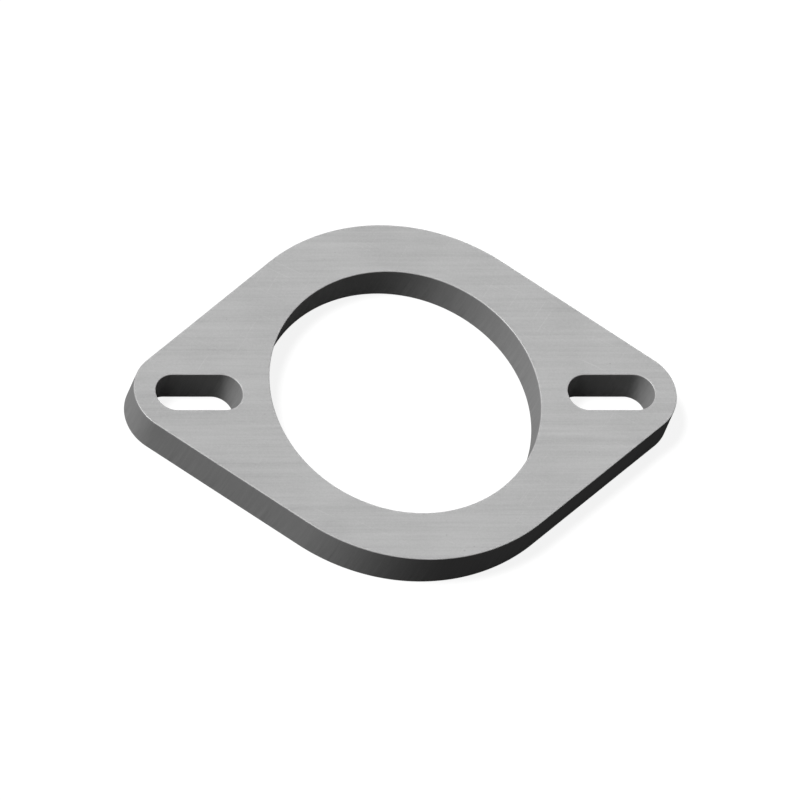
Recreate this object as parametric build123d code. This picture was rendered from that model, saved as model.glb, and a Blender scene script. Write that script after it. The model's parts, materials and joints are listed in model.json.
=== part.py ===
from build123d import *

import os

# A flat two-bolt pipe flange, cut from one piece of plate. The pipe goes into the round bore, and a slotted
# bolt hole in each ear lets the flange meet patterns of slightly different width.
# Sizes are in millimetres. The origin is on the bore's axis in the plane of the lower face, +Z points up
# through the plate, and +X runs along the line of the two slots.

# Driving dimensions
PLATE_THICKNESS = 10.0
BORE_DIAMETER = 62.0  # takes a pipe of 60.3 outside diameter
RING_WALL = 12.0  # metal round the bore, where the plate is narrowest
BORE_TO_SLOT_WALL = 6.5  # metal between the bore and the near end of each slot
SLOT_WIDTH = 9.0  # clears an M8 bolt
SLOT_TRAVEL = 11.0  # how far a bolt can shift along its slot
EAR_SIDE_WALL = 6.0  # metal on each flank of a slot, by which its ear is wider than the slot
EAR_END_WALL = 5.0  # metal beyond the far end of each slot
EDGE_BREAK = 0.2  # width taken off every sharp rim after cutting

# Sizes and places that follow from them
bore_radius = BORE_DIAMETER / 2
ring_radius = bore_radius + RING_WALL
slot_length = SLOT_TRAVEL + SLOT_WIDTH
slot_centre = bore_radius + BORE_TO_SLOT_WALL + slot_length / 2
ear_radius = SLOT_WIDTH / 2 + EAR_SIDE_WALL
ear_tip = slot_centre + slot_length / 2 + EAR_END_WALL
ear_centre = ear_tip - ear_radius


def both_sides(distance):
    """The same place on the left and on the right of the bore."""
    return Locations((-distance, 0), (distance, 0))


def plate_outline():
    """The ring and its two ears in one tight belt, so that tangent straights join the round stretches."""
    with BuildSketch() as outline:
        Circle(ring_radius)
        with both_sides(ear_centre):
            Circle(ear_radius)
        make_hull()
    return outline.sketch


def plate_profile():
    """The outline with the bore and the two slots cut through it."""
    with BuildSketch() as profile:
        add(plate_outline())
        Circle(bore_radius, mode=Mode.SUBTRACT)
        with both_sides(slot_centre):
            SlotCenterToCenter(SLOT_TRAVEL, SLOT_WIDTH, mode=Mode.SUBTRACT)
    return profile.sketch


def flange_plate():
    """The profile raised to the plate's thickness, with the rims of both faces broken."""
    with BuildPart() as plate:
        add(plate_profile())
        extrude(amount=PLATE_THICKNESS)
        flat_faces = plate.faces().filter_by(Axis.Z)
        chamfer(flat_faces.edges(), EDGE_BREAK)
    return plate.part


os.makedirs("parts", exist_ok=True)
export_step(flange_plate(), "parts/flange_plate.step")
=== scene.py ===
import json
import math
from collections import namedtuple

import bmesh
import bpy
from bpy.props import FloatProperty, FloatVectorProperty, PointerProperty
from mathutils import Euler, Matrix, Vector


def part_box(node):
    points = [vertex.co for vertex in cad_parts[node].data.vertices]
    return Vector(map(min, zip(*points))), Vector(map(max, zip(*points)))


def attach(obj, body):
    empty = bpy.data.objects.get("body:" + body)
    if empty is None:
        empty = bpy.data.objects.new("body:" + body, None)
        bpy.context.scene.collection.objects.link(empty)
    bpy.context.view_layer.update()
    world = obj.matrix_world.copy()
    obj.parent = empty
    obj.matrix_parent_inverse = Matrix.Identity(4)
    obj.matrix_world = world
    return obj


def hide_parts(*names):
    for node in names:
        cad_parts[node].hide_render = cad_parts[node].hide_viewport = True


bl_info = {
    "name": "Slotted Pipe Flange",
    "version": (1, 0, 0),
    "blender": (4, 5, 0),
    "location": "3D View > Sidebar > Flange",
    "description": "Models a flat two-bolt pipe flange of cut steel plate, and a white stage to show it on",
    "category": "Object",
}

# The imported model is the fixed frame: the plate's sizes are read from its box and from its mounts.
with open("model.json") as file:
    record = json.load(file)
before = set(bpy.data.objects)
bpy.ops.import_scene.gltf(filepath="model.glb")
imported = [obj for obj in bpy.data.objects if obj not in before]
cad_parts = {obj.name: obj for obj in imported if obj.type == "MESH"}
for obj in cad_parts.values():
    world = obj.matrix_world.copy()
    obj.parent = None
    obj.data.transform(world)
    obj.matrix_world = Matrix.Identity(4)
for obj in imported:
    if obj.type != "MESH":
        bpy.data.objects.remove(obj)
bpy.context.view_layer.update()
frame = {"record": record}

PLATE_NODE = "flange_plate"
BODY = "root"

MM = 0.001
PLATE_LOW, PLATE_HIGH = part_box(PLATE_NODE)
MOUNTS = {mount["name"]: mount["dims"] for mount in frame["record"]["mounts"]}
BORE = MOUNTS["bore"]
SLOTS = MOUNTS["bolt_slots"]

# A rim's rounding is this many facets, and the faces keep a band this many radii wide beside it.
RIM_SEGMENTS = 4
RIM_BAND = 2

# A face is flat when more than this share of its normal points up or down.
FLAT_SHARE = 0.5

# Sizes of the patterns in the steel, in millimetres along x, y and z
CLOUD_SIZE = (14, 14, 14)
ROLLING_SIZE = (18, 0.42, 18)
BAND_SIZE = (60, 2.4, 60)
GRAIN_SIZE = (0.38, 0.38, 0.38)
SCRATCH_SIZE = (14, 0.19, 14)
PIT_SPACING = (2.4, 2.4, 2.4)
FINE_DRAG_SIZE = (0.38, 0.38, 17)
COARSE_DRAG_SIZE = (1.1, 1.1, 20)

# How many layers of finer noise lie over a pattern's own
CLOUD_DETAIL = 3
ROLLING_DETAIL = 3
SCRATCH_DETAIL = 0
USUAL_DETAIL = 2  # for every other pattern

# Heights and depths of what can be felt on the steel, in millimetres
ROLLING_HEIGHT = 0.004
GRAIN_HEIGHT = 0.004
SCRATCH_DEPTH = 0.003
PIT_DEPTH = 0.006
FINE_DRAG_HEIGHT = 0.012
COARSE_DRAG_HEIGHT = 0.05

# The pits' radius and soft edge as shares of their spacing. Where the clouds are dense the pits grow into
# clusters, and where they are thin the pits shrink to nothing.
PIT_RADIUS = 0.02
PIT_GROWTH = 0.5
PIT_EDGE = 0.05

# A scratch starts to show where its noise passes the first level, and is whole at the second. Scratches run
# in two directions, given in radians from the plate's length.
SCRATCH_LEVELS = (0.27, 0.33)
SCRATCH_TURNS = (0.5, 2.2)

# How strong the broad bands are beside the fine lines left by the rolls
BAND_SHARE = 0.6

# What the fine and the coarse lines share of the walls' tone, and how much the grain weakens there
FINE_DRAG_SHARE = 0.4
COARSE_DRAG_SHARE = 0.7
WALL_GRAIN_SHARE = 0.5

# The coarse lines are whole below the first height and gone above the second, as shares of the thickness.
COARSE_DRAG_ZONE = (0.1, 0.8)

# Roughness of the steel, and how far each pattern changes it
FACE_ROUGHNESS = 0.55
WALL_ROUGHNESS = 0.72
CLOUD_ROUGHNESS = 0.2
ROLLING_ROUGHNESS = 0.35
GRAIN_ROUGHNESS = 0.2
RIM_POLISH = 0.12

# How far the clouds change how metallic the faces are
CLOUD_METAL = 0.15

# How far the brightened band along a rim widens and narrows with the clouds, in millimetres
RIM_UNEVENNESS = 0.6


class FlangeSizes(bpy.types.PropertyGroup):
    """Sizes of the plate"""

    thickness: FloatProperty(
        name="Thickness",
        description="Thickness of the plate",
        default=PLATE_HIGH.z - PLATE_LOW.z,
        min=1 * MM,
        unit="LENGTH",
    )
    bore_diameter: FloatProperty(
        name="Bore",
        description="Diameter of the round hole that the pipe goes into",
        default=2 * BORE["r_mm"] * MM,
        min=5 * MM,
        unit="LENGTH",
    )
    ring_diameter: FloatProperty(
        name="Ring",
        description="Diameter of the outline's round middle",
        default=PLATE_HIGH.y - PLATE_LOW.y,
        min=10 * MM,
        unit="LENGTH",
    )
    slot_spacing: FloatProperty(
        name="Slot Spacing",
        description="Distance between the middles of the two bolt slots",
        default=SLOTS["spacing_x_mm"] * MM,
        min=10 * MM,
        unit="LENGTH",
    )
    slot_length: FloatProperty(
        name="Slot Length",
        description="Length of a bolt slot from end to end",
        default=SLOTS["slot_length_mm"] * MM,
        min=1 * MM,
        unit="LENGTH",
    )
    slot_width: FloatProperty(
        name="Slot Width",
        description="Width of a bolt slot, which is also twice the radius of its ends",
        default=2 * SLOTS["hole_r_mm"] * MM,
        min=1 * MM,
        unit="LENGTH",
    )
    ear_side_wall: FloatProperty(
        name="Ear Side Wall",
        description="Metal on each flank of a slot, by which its ear is wider than the slot",
        default=6 * MM,
        min=1 * MM,
        unit="LENGTH",
    )
    ear_end_wall: FloatProperty(
        name="Ear End Wall",
        description="Metal beyond the far end of each slot",
        default=5 * MM,
        min=1 * MM,
        unit="LENGTH",
    )
    edge_radius: FloatProperty(
        name="Edge Radius",
        description="Radius of the rounding that deburring leaves on every rim",
        default=(PLATE_HIGH.z - PLATE_LOW.z - BORE["length_mm"] * MM) / 2,
        min=0.02 * MM,
        precision=4,
        unit="LENGTH",
    )
    chord_error: FloatProperty(
        name="Chord Error",
        description="Furthest that a facet may lie from the arc it stands for",
        default=0.002 * MM,
        min=0.0005 * MM,
        precision=6,
        unit="LENGTH",
    )


class FlangeFinish(bpy.types.PropertyGroup):
    """Colours and wear of the steel"""

    face_color: FloatVectorProperty(
        name="Face Colour",
        description="Colour of the two rolled faces",
        default=(0.41, 0.41, 0.41),
        min=0,
        max=1,
        subtype="COLOR",
    )
    wall_color: FloatVectorProperty(
        name="Wall Colour",
        description="Colour of the cut walls",
        default=(0.45, 0.45, 0.45),
        min=0,
        max=1,
        subtype="COLOR",
    )
    mottle: FloatProperty(
        name="Mottle",
        description="How far the broad patches of the faces differ in tone",
        default=0.12,
        min=0,
        max=1,
        subtype="FACTOR",
    )
    rolling: FloatProperty(
        name="Rolling Lines",
        description="How far the lines and bands left by the rolls differ in tone",
        default=0.24,
        min=0,
        max=1,
        subtype="FACTOR",
    )
    grain: FloatProperty(
        name="Grain",
        description="How far the finest grain differs in tone",
        default=0.20,
        min=0,
        max=1,
        subtype="FACTOR",
    )
    drag_lines: FloatProperty(
        name="Drag Lines",
        description="How far the upright lines that cutting leaves on the walls differ in tone",
        default=0.5,
        min=0,
        max=1,
        subtype="FACTOR",
    )
    drag_lag: FloatProperty(
        name="Drag Lag",
        description="How far the drag lines have fallen behind the cut where they reach the lower face",
        default=0.9 * MM,
        min=0,
        precision=4,
        unit="LENGTH",
    )
    scratches: FloatProperty(
        name="Scratches",
        description="How much brighter the fine scratches on the faces are",
        default=0.09,
        min=0,
        max=1,
        subtype="FACTOR",
    )
    pits: FloatProperty(
        name="Pits",
        description="How much darker the tiny pits in the faces are",
        default=0.16,
        min=0,
        max=1,
        subtype="FACTOR",
    )
    # Painted shade: this darkens the colour of the slot walls, standing in for the shade inside the narrow
    # slots.
    slot_painted_shade: FloatProperty(
        name="Slot Painted Shade",
        description="How much darker the walls of the slots are, where the heat of cutting stays longest",
        default=0.12,
        min=0,
        max=1,
        subtype="FACTOR",
    )
    face_metal: FloatProperty(
        name="Face Metal",
        description="How metallic the faces are where the rolls have left them bright",
        default=0.25,
        min=0,
        max=1,
        subtype="FACTOR",
    )
    rim_width: FloatProperty(
        name="Rim Width",
        description="Width of the band along each rim that deburring has brightened",
        default=0.9 * MM,
        min=0.1 * MM,
        precision=4,
        unit="LENGTH",
    )
    rim_shine: FloatProperty(
        name="Rim Shine",
        description="How much brighter that band is",
        default=0.05,
        min=0,
        max=1,
        subtype="FACTOR",
    )


class FlangeStage(bpy.types.PropertyGroup):
    """Floor, lamps and camera"""

    floor_size: FloatProperty(
        name="Floor",
        description="Length of each side of the floor",
        default=6.0,
        min=0.5,
        unit="LENGTH",
    )
    floor_glow: FloatProperty(
        name="Floor Glow",
        description="White that the floor shows even in shadow",
        default=0.88,
        min=0,
        max=1,
        subtype="FACTOR",
    )
    floor_shade: FloatProperty(
        name="Floor Shade",
        description="Share of the lamps' light that the floor shows, and so how deep its shadows are",
        default=0.18,
        min=0,
        max=1,
        subtype="FACTOR",
    )
    floor_bounce: FloatProperty(
        name="Floor Bounce",
        description="Share of the lamps' light that the floor throws back on to the walls",
        default=0.02,
        min=0,
        max=1,
        subtype="FACTOR",
    )
    key_strength: FloatProperty(
        name="Key",
        description="Strength of the main lamp",
        default=3.2,
        min=0,
    )
    key_azimuth: FloatProperty(
        name="Key Azimuth",
        description="Direction that the main lamp shines from, counted from +X towards +Y",
        default=math.radians(175),
        subtype="ANGLE",
    )
    key_elevation: FloatProperty(
        name="Key Elevation",
        description="Height of the main lamp above the horizon",
        default=math.radians(64),
        subtype="ANGLE",
    )
    key_spread: FloatProperty(
        name="Key Spread",
        description="Width of the main lamp as an angle: a wide lamp gives soft shadows",
        default=math.radians(14),
        subtype="ANGLE",
    )
    fill_strength: FloatProperty(
        name="Fill",
        description="Strength of the low lamp behind the plate, which lights the walls turned from the view",
        default=1.1,
        min=0,
    )
    fill_elevation: FloatProperty(
        name="Fill Elevation",
        description="Height of that lamp above the horizon",
        default=math.radians(8),
        subtype="ANGLE",
    )
    sky_strength: FloatProperty(
        name="Sky",
        description="Strength of the even light from all round",
        default=0.067,
        min=0,
    )
    view_tip: FloatProperty(
        name="View Tip",
        description="Angle by which the camera is tipped up from looking straight down on the plate",
        default=math.radians(30),
        subtype="ANGLE",
    )
    view_turn: FloatProperty(
        name="View Turn",
        description="Angle by which the camera is then turned to the left of the plate",
        default=math.radians(15),
        subtype="ANGLE",
    )
    view_width: FloatProperty(
        name="View Width",
        description="Width of what the camera sees",
        default=178.08 * MM,
        min=10 * MM,
        unit="LENGTH",
    )
    view_right: FloatProperty(
        name="View Right",
        description="How far the picture's middle is to the right of the bore's",
        default=1.05 * MM,
        unit="LENGTH",
    )
    view_up: FloatProperty(
        name="View Up",
        description="How far the picture's middle is above the bore's",
        default=3.25 * MM,
        unit="LENGTH",
    )
    view_distance: FloatProperty(
        name="View Distance",
        description="Distance of the camera from the bore's middle",
        default=0.6,
        min=0.1,
        unit="LENGTH",
    )


class Number:
    """A number that varies over a surface. A sum on it adds the Math node that works it out."""

    def __init__(self, graph, socket):
        self.graph = graph
        self.socket = socket

    def __add__(self, other):
        return self.graph.math("ADD", self, other)

    def __radd__(self, other):
        return self.graph.math("ADD", other, self)

    def __sub__(self, other):
        return self.graph.math("SUBTRACT", self, other)

    def __rsub__(self, other):
        return self.graph.math("SUBTRACT", other, self)

    def __mul__(self, other):
        return self.graph.math("MULTIPLY", self, other)

    def __rmul__(self, other):
        return self.graph.math("MULTIPLY", other, self)

    def __gt__(self, other):
        return self.graph.math("GREATER_THAN", self, other)

    def __abs__(self):
        return self.graph.math("ABSOLUTE", self)


class Graph:
    """The nodes of one material or world, which start from none."""

    def __init__(self, owner):
        owner.use_nodes = True
        self.tree = owner.node_tree
        self.tree.nodes.clear()

    def node(self, kind, settings=None, values=None):
        """Adds a node, makes its settings, and then links or sets its sockets, by name or by number."""
        made = self.tree.nodes.new(kind)
        for name, setting in (settings or {}).items():
            setattr(made, name, setting)
        for name, value in (values or {}).items():
            value = value.socket if isinstance(value, Number) else value
            if isinstance(value, bpy.types.NodeSocket):
                self.tree.links.new(value, made.inputs[name])
            else:
                made.inputs[name].default_value = value
        return made

    def math(self, operation, *operands):
        made = self.node("ShaderNodeMath", {"operation": operation}, dict(enumerate(operands)))
        return Number(self, made.outputs[0])

    def lowest(self, first, second):
        return self.math("MINIMUM", first, second)

    def highest(self, first, second):
        return self.math("MAXIMUM", first, second)

    def length(self, first, second):
        """The long side of a right triangle with these two short sides."""
        return self.math("SQRT", first * first + second * second)

    def ramp(self, number, low, high):
        """Goes smoothly from 0 where the number is low to 1 where it is high."""
        values = {"Value": number, "From Min": low, "From Max": high}
        made = self.node("ShaderNodeMapRange", {"interpolation_type": "SMOOTHSTEP"}, values)
        return Number(self, made.outputs["Result"])

    def vector(self, operation, values):
        made = self.node("ShaderNodeVectorMath", {"operation": operation}, values)
        return made.outputs["Vector"]

    def in_units_of(self, place, size):
        """The place counted in steps of this size, which is in millimetres along x, y and z."""
        return self.vector("DIVIDE", {0: place, 1: [extent * MM for extent in size]})

    def noise(self, place, size, detail=USUAL_DETAIL):
        """Cloudy noise from about -0.5 to 0.5, with clouds of this size and layers of finer ones."""
        values = {"Vector": self.in_units_of(place, size), "Scale": 1.0, "Detail": detail}
        made = self.node("ShaderNodeTexNoise", None, values)
        return Number(self, made.outputs["Fac"]) - 0.5

    def blend_colors(self, share, first, second):
        # Sockets for other kinds of value share these names, so the colours' own are given by number.
        made = self.node("ShaderNodeMix", {"data_type": "RGBA"}, {0: share, 6: first, 7: second})
        return made.outputs[2]


# One round stretch of an outline: an arc about (centre_x, 0), drawn anticlockwise from one angle to the other
Round = namedtuple("Round", "centre_x radius start end")

# How a finish departs from its plain colour, how high it stands in millimetres, and how rough it is
Surface = namedtuple("Surface", "tone height roughness")


def point_on(stretch, angle):
    return Vector((
        stretch.centre_x + stretch.radius * math.cos(angle),
        stretch.radius * math.sin(angle),
        0.0,
    ))


def ring_radius(sizes):
    return sizes.ring_diameter / 2


def ear_radius(sizes):
    return sizes.slot_width / 2 + sizes.ear_side_wall


def ear_centre(sizes):
    tip = (sizes.slot_spacing + sizes.slot_length) / 2 + sizes.ear_end_wall
    return tip - ear_radius(sizes)


def flank_angle(sizes):
    """The direction that the straight between the ring and the right ear's upper side faces, from +X."""
    return math.acos((ring_radius(sizes) - ear_radius(sizes)) / ear_centre(sizes))


def plate_rounds(sizes):
    """The ring's and the ears' stretches of the outline, which tangent straights join."""
    ring = ring_radius(sizes)
    ear = ear_radius(sizes)
    reach = ear_centre(sizes)
    flank = flank_angle(sizes)
    return [
        Round(reach, ear, -flank, flank),
        Round(0.0, ring, flank, math.pi - flank),
        Round(-reach, ear, math.pi - flank, math.pi + flank),
        Round(0.0, ring, math.pi + flank, 2 * math.pi - flank),
    ]


def slot_rounds(sizes, side):
    """The two half circles of a bolt slot; side is 1 for the right ear and -1 for the left one."""
    radius = sizes.slot_width / 2
    centre = side * sizes.slot_spacing / 2
    shift = sizes.slot_length / 2 - radius
    return [
        Round(centre + shift, radius, -math.pi / 2, math.pi / 2),
        Round(centre - shift, radius, math.pi / 2, 3 * math.pi / 2),
    ]


def steps_for(radius, sweep, chord_error):
    """How many straight facets keep an arc within the chord error."""
    facet = 2 * math.acos(1 - chord_error / radius)
    return math.ceil(sweep / facet)


def draw_rounds(rounds, chord_error):
    """Draws a closed outline in edit mode: a point is spun along each arc, then pulled to the next one."""
    bpy.ops.mesh.select_all(action="DESELECT")
    # A tiny plane that is merged to its middle leaves one point to start from.
    first = point_on(rounds[0], rounds[0].start)
    bpy.ops.mesh.primitive_plane_add(size=chord_error, location=first)
    bpy.ops.mesh.merge(type="CENTER")
    for here, following in zip(rounds, rounds[1:] + rounds[:1]):
        sweep = here.end - here.start
        bpy.ops.mesh.spin(
            steps=steps_for(here.radius, sweep, chord_error),
            angle=-sweep,  # a spin counts clockwise
            center=(here.centre_x, 0, 0),
            axis=(0, 0, 1),
        )
        straight = point_on(following, following.start) - point_on(here, here.end)
        bpy.ops.mesh.extrude_region_move(TRANSFORM_OT_translate={"value": straight})


def select_in_mesh(kind, wanted):
    """In edit mode, selects only the faces or edges that pass the test."""
    bpy.ops.mesh.select_mode(type=kind)
    bpy.ops.mesh.select_all(action="DESELECT")
    data = bpy.context.edit_object.data
    mesh = bmesh.from_edit_mesh(data)
    items = mesh.faces if kind == "FACE" else mesh.edges
    for item in items:
        if wanted(item):
            item.select_set(True)
    mesh.select_flush_mode()
    bmesh.update_edit_mesh(data)


def is_flat(face):
    """Does this face belong to the upper or the lower side of the plate?"""
    return abs(face.normal.z) > FLAT_SHARE


def is_rim(edge):
    """Does this edge part a flat side from a wall?"""
    flat = [is_flat(face) for face in edge.link_faces]
    return len(flat) == 2 and flat[0] != flat[1]


def apply_modifier(piece, kind, **settings):
    modifier = piece.modifiers.new(kind.title(), kind)
    for name, setting in settings.items():
        setattr(modifier, name, setting)
    bpy.ops.object.modifier_apply(modifier=modifier.name)


def model_plate(sizes):
    """Draws the bore, outline and slots, fills between them, raises the plate and rounds its rims."""
    bpy.ops.object.select_all(action="DESELECT")
    bore_radius = sizes.bore_diameter / 2
    facets = steps_for(bore_radius, 2 * math.pi, sizes.chord_error)
    bpy.ops.mesh.primitive_circle_add(vertices=facets, radius=bore_radius)
    piece = bpy.context.object
    piece.name = "steel_plate"
    piece.data.name = "steel_plate"
    bpy.ops.object.mode_set(mode="EDIT")
    draw_rounds(plate_rounds(sizes), sizes.chord_error)
    for side in (-1, 1):
        draw_rounds(slot_rounds(sizes, side), sizes.chord_error)
    bpy.ops.mesh.select_all(action="SELECT")
    bpy.ops.mesh.remove_doubles(threshold=sizes.chord_error / 2)
    bpy.ops.mesh.fill(use_beauty=True)
    bpy.ops.mesh.extrude_region_move(TRANSFORM_OT_translate={"value": (0, 0, sizes.thickness)})
    bpy.ops.mesh.select_all(action="SELECT")
    bpy.ops.mesh.normals_make_consistent(inside=False)

    # A narrow band of even faces beside each rim gives the rounding clean ends.
    select_in_mesh("FACE", is_flat)
    bpy.ops.mesh.inset(thickness=RIM_BAND * sizes.edge_radius)
    select_in_mesh("EDGE", is_rim)
    bpy.ops.mesh.bevel(offset=sizes.edge_radius, segments=RIM_SEGMENTS, affect="EDGES", clamp_overlap=False)
    bpy.ops.object.mode_set(mode="OBJECT")
    bpy.ops.object.shade_smooth()
    apply_modifier(piece, "WEIGHTED_NORMAL", mode="FACE_AREA")
    return piece


def gaps_in_plan(graph, sizes, x, y):
    """How far a place on the plate is from the bore, from its slot and from the outline, seen from above."""
    along = abs(x)
    across = abs(y)
    flank = flank_angle(sizes)
    ring = ring_radius(sizes)
    reach = ear_centre(sizes)
    to_middle = graph.length(x, y)

    bore_gap = to_middle - sizes.bore_diameter / 2
    slot_shift = (sizes.slot_length - sizes.slot_width) / 2
    past_shift = graph.highest(abs(along - sizes.slot_spacing / 2) - slot_shift, 0)
    slot_gap = graph.length(past_shift, across) - sizes.slot_width / 2

    # The outline is an arc of the ring, then a straight flank, then an arc of the ear.
    ring_gap = ring - to_middle
    flank_gap = ring - (along * math.cos(flank) + across * math.sin(flank))
    ear_gap = ear_radius(sizes) - graph.length(along - reach, across)
    down_flank = along * math.sin(flank) - across * math.cos(flank)
    beside_flank = down_flank > 0
    beside_ear = down_flank > reach * math.sin(flank)
    outline_gap = ring_gap + beside_flank * (flank_gap - ring_gap) + beside_ear * (ear_gap - flank_gap)
    return bore_gap, slot_gap, outline_gap


def pits_in(graph, place, clouds):
    """1 in small round pits, which come in loose clusters, and 0 elsewhere."""
    cells = graph.node("ShaderNodeTexVoronoi", None, {
        "Vector": graph.in_units_of(place, PIT_SPACING),
        "Scale": 1.0,
    })
    distance = Number(graph, cells.outputs["Distance"])
    radius = PIT_RADIUS + PIT_GROWTH * clouds
    return graph.ramp(radius - distance, 0.0, PIT_EDGE)


def scratches_at(graph, place, turn):
    """1 along sparse thin scratches, which run at this angle to the plate's length, and 0 elsewhere."""
    turned = graph.node("ShaderNodeMapping", None, {"Vector": place, "Rotation": (0, 0, turn)})
    dashes = graph.noise(turned.outputs["Vector"], SCRATCH_SIZE, SCRATCH_DETAIL)
    return graph.ramp(dashes, *SCRATCH_LEVELS)


def rolled_face(graph, place, clouds, grain, finish):
    """Broad patches, the lines and bands left by the rolls, grain, pits and scratches."""
    fine = graph.noise(place, ROLLING_SIZE, ROLLING_DETAIL)
    bands = graph.noise(place, BAND_SIZE)
    lines = fine + BAND_SHARE * bands
    pits = pits_in(graph, place, clouds)
    scratches = graph.highest(*(scratches_at(graph, place, turn) for turn in SCRATCH_TURNS))
    return Surface(
        tone=(
            finish.mottle * clouds + finish.rolling * lines + finish.grain * grain
            + finish.scratches * scratches - finish.pits * pits
        ),
        height=(
            ROLLING_HEIGHT * lines + GRAIN_HEIGHT * grain
            - SCRATCH_DEPTH * scratches - PIT_DEPTH * pits
        ),
        roughness=(
            FACE_ROUGHNESS + ROLLING_ROUGHNESS * lines + CLOUD_ROUGHNESS * clouds
            + GRAIN_ROUGHNESS * grain
        ),
    )


def cut_wall(graph, texture, z, grain, sizes, finish):
    """Fine lines all the way down, and coarse ones that grow towards the lower face."""
    # The lines fall behind the cut as they go down, so their pattern slides along the wall.
    along = graph.vector("CROSS_PRODUCT", {0: (0, 0, 1), 1: texture.outputs["Normal"]})
    fall = 1 - z * (1 / sizes.thickness)
    shift = graph.vector("SCALE", {0: along, "Scale": finish.drag_lag * fall * fall})
    shifted = graph.vector("ADD", {0: texture.outputs["Object"], 1: shift})
    fine = graph.noise(shifted, FINE_DRAG_SIZE)
    whole_below, gone_above = (share * sizes.thickness for share in COARSE_DRAG_ZONE)
    coarse = graph.noise(shifted, COARSE_DRAG_SIZE) * (1 - graph.ramp(z, whole_below, gone_above))
    return Surface(
        tone=(
            finish.drag_lines * (FINE_DRAG_SHARE * fine + COARSE_DRAG_SHARE * coarse)
            + WALL_GRAIN_SHARE * finish.grain * grain
        ),
        height=FINE_DRAG_HEIGHT * fine + COARSE_DRAG_HEIGHT * coarse + GRAIN_HEIGHT * grain,
        roughness=WALL_ROUGHNESS + GRAIN_ROUGHNESS * grain,
    )


def steel_material(sizes, finish):
    """Rolled faces, walls that carry the drag lines of the cut, and rims that deburring has brightened."""
    material = bpy.data.materials.new("cut_steel_plate")
    graph = Graph(material)
    texture = graph.node("ShaderNodeTexCoord")
    place = texture.outputs["Object"]
    split = graph.node("ShaderNodeSeparateXYZ", None, {0: place})
    x, y, z = (Number(graph, split.outputs[axis]) for axis in "XYZ")
    clouds = graph.noise(place, CLOUD_SIZE, CLOUD_DETAIL)
    grain = graph.noise(place, GRAIN_SIZE)

    depth = graph.lowest(z, sizes.thickness - z)
    bore_gap, slot_gap, outline_gap = gaps_in_plan(graph, sizes, x, y)
    gap = graph.lowest(graph.lowest(bore_gap, slot_gap), outline_gap)
    on_wall = graph.ramp(depth, 0.0, sizes.edge_radius)
    on_face = 1 - on_wall
    # Mask of the slot walls, where the painted shade is laid.
    slot_shade_mask = on_wall * (1 - graph.ramp(slot_gap, sizes.edge_radius, 2 * sizes.edge_radius))
    from_rim = graph.length(gap, depth) + RIM_UNEVENNESS * MM * clouds
    on_rim = 1 - graph.ramp(from_rim, 0.0, finish.rim_width)

    face = rolled_face(graph, place, clouds, grain, finish)
    wall = cut_wall(graph, texture, z, grain, sizes, finish)
    # The slot term below is painted shade: it darkens the colour of the slot walls.
    tone = (
        1 + on_face * face.tone + on_wall * wall.tone
        + finish.rim_shine * on_rim - finish.slot_painted_shade * slot_shade_mask
    )
    height = on_face * face.height + on_wall * wall.height
    roughness = on_face * face.roughness + on_wall * wall.roughness - RIM_POLISH * on_rim

    color = graph.blend_colors(on_wall, (*finish.face_color, 1), (*finish.wall_color, 1))
    # Heights are counted in millimetres, so a height of 1 stands out by one.
    bump = graph.node("ShaderNodeBump", None, {"Strength": 1.0, "Distance": MM, "Height": height})
    shader = graph.node("ShaderNodeBsdfPrincipled", None, {
        "Base Color": graph.vector("SCALE", {0: color, "Scale": tone}),
        "Roughness": roughness,
        "Metallic": on_face * (finish.face_metal + CLOUD_METAL * clouds),
        "Specular IOR Level": 0.0,
        "Normal": bump.outputs["Normal"],
    })
    graph.node("ShaderNodeOutputMaterial", None, {"Surface": shader.outputs[0]})
    return material


def gray(level):
    return (level, level, level, 1)


WHITE = gray(1)


def sun_from(azimuth, elevation, strength, spread, name):
    """Adds a distant lamp that shines from this direction."""
    source = Vector((
        math.cos(elevation) * math.cos(azimuth),
        math.cos(elevation) * math.sin(azimuth),
        math.sin(elevation),
    ))
    bpy.ops.object.light_add(type="SUN", rotation=source.to_track_quat("Z", "Y").to_euler())
    lamp = bpy.context.object
    lamp.name = name
    lamp.data.energy = strength
    lamp.data.angle = spread


def shows_white(graph):
    """1 for rays of the camera and those that gloss or glass sends on, and 0 for light on surfaces."""
    path = graph.node("ShaderNodeLightPath")
    camera, glossy, through = (
        Number(graph, path.outputs[name])
        for name in ("Is Camera Ray", "Is Glossy Ray", "Is Transmission Ray")
    )
    return graph.highest(graph.highest(camera, glossy), through)


def floor_material(stage):
    """White to the eye with a faint shadow, and dark to the light that would bounce up on to the walls."""
    material = bpy.data.materials.new("white_floor")
    graph = Graph(material)
    glow = graph.node("ShaderNodeEmission", None, {"Color": WHITE, "Strength": stage.floor_glow})
    lit = graph.node("ShaderNodeBsdfDiffuse", None, {"Color": gray(stage.floor_shade)})
    seen = graph.node("ShaderNodeAddShader", None, {0: glow.outputs[0], 1: lit.outputs[0]})
    dark = graph.node("ShaderNodeBsdfDiffuse", None, {"Color": gray(stage.floor_bounce)})
    mixed = graph.node(
        "ShaderNodeMixShader", None, {0: shows_white(graph), 1: dark.outputs[0], 2: seen.outputs[0]}
    )
    graph.node("ShaderNodeOutputMaterial", None, {"Surface": mixed.outputs[0]})
    return material


def light_sky(stage):
    """A white backdrop to the eye, and an even weak light on the plate."""
    world = bpy.data.worlds.new("white_sky")
    bpy.context.scene.world = world
    graph = Graph(world)
    seen = graph.node("ShaderNodeBackground", None, {"Color": WHITE, "Strength": 1.0})
    fill = graph.node("ShaderNodeBackground", None, {"Color": WHITE, "Strength": stage.sky_strength})
    mixed = graph.node(
        "ShaderNodeMixShader", None, {0: shows_white(graph), 1: fill.outputs[0], 2: seen.outputs[0]}
    )
    graph.node("ShaderNodeOutputWorld", None, {"Surface": mixed.outputs[0]})


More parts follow.
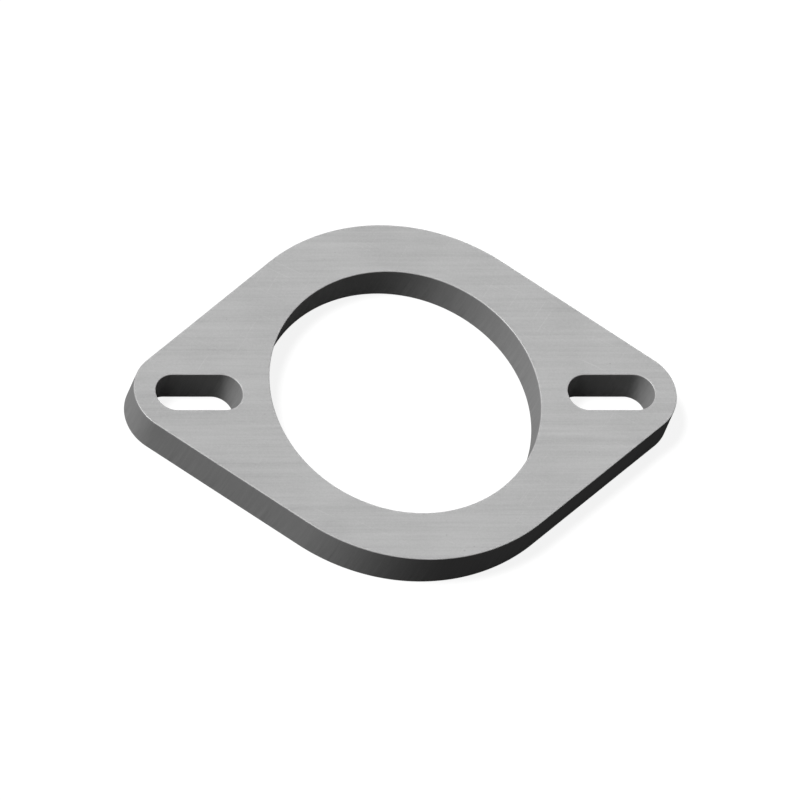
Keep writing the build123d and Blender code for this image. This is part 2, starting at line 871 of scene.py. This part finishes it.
def view_turned(stage):
    """The camera's turn: down on the plate, tipped towards its front edge and then turned to its left."""
    return Euler((stage.view_tip, -stage.view_turn, 0.0), "YXZ")


def view_azimuth(stage):
    """The direction that the camera looks from, counted from +X towards +Y."""
    towards = view_turned(stage).to_matrix() @ Vector((0, 0, 1))
    return math.atan2(towards.y, towards.x)


def add_camera(stage):
    """Adds the camera, with a parallel view."""
    turned = view_turned(stage)
    place = turned.to_matrix() @ Vector((stage.view_right, stage.view_up, stage.view_distance))
    bpy.ops.object.camera_add(location=place)
    camera = bpy.context.object
    camera.rotation_mode = turned.order
    camera.rotation_euler = turned
    camera.data.type = "ORTHO"
    camera.data.ortho_scale = stage.view_width
    bpy.context.scene.camera = camera


class FLANGE_OT_plate(bpy.types.Operator):
    """Model the flange plate in cut steel"""

    bl_idname = "flange.plate"
    bl_label = "Flange Plate"
    bl_options = {"REGISTER", "UNDO"}

    def execute(self, context):
        sizes = context.scene.flange_sizes
        if sizes.slot_spacing - sizes.slot_length <= sizes.bore_diameter:
            raise ValueError("the bolt slots reach into the bore")
        if ring_radius(sizes) - ear_radius(sizes) >= ear_centre(sizes):
            raise ValueError("the ears lie inside the ring")
        piece = model_plate(sizes)
        piece.data.materials.append(steel_material(sizes, context.scene.flange_finish))
        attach(piece, BODY)
        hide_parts(PLATE_NODE)
        return {"FINISHED"}


class FLANGE_OT_stage(bpy.types.Operator):
    """Set up the white floor, the lamps and the camera"""

    bl_idname = "flange.stage"
    bl_label = "Flange Stage"
    bl_options = {"REGISTER", "UNDO"}

    def execute(self, context):
        stage = context.scene.flange_stage
        bpy.ops.object.select_all(action="DESELECT")
        bpy.ops.mesh.primitive_plane_add(size=stage.floor_size)
        floor = context.object
        floor.name = "floor"
        floor.data.materials.append(floor_material(stage))
        sun_from(stage.key_azimuth, stage.key_elevation, stage.key_strength, stage.key_spread, "key_lamp")
        behind = view_azimuth(stage) + math.pi
        sun_from(behind, stage.fill_elevation, stage.fill_strength, stage.key_spread, "fill_lamp")
        light_sky(stage)
        add_camera(stage)
        context.scene.view_settings.view_transform = "Standard"
        return {"FINISHED"}


class FLANGE_PT_sidebar(bpy.types.Panel):
    """Sizes and finish of the flange, and the buttons that build it"""

    bl_idname = "FLANGE_PT_sidebar"
    bl_label = "Pipe Flange"
    bl_space_type = "VIEW_3D"
    bl_region_type = "UI"
    bl_category = "Flange"

    def draw(self, context):
        scene = context.scene
        for title, group in (
            ("Sizes", scene.flange_sizes),
            ("Finish", scene.flange_finish),
            ("Stage", scene.flange_stage),
        ):
            box = self.layout.box()
            box.label(text=title)
            for name in group.__annotations__:
                box.prop(group, name)
        self.layout.operator(FLANGE_OT_plate.bl_idname)
        self.layout.operator(FLANGE_OT_stage.bl_idname)


CLASSES = (FlangeSizes, FlangeFinish, FlangeStage, FLANGE_OT_plate, FLANGE_OT_stage, FLANGE_PT_sidebar)


def register():
    for cls in CLASSES:
        bpy.utils.register_class(cls)
    bpy.types.Scene.flange_sizes = PointerProperty(type=FlangeSizes)
    bpy.types.Scene.flange_finish = PointerProperty(type=FlangeFinish)
    bpy.types.Scene.flange_stage = PointerProperty(type=FlangeStage)


def unregister():
    del bpy.types.Scene.flange_stage
    del bpy.types.Scene.flange_finish
    del bpy.types.Scene.flange_sizes
    for cls in reversed(CLASSES):
        bpy.utils.unregister_class(cls)


def main():
    """Builds the plate and its stage."""
    register()
    bpy.ops.flange.plate()
    bpy.ops.flange.stage()


if __name__ == "__main__":
    main()
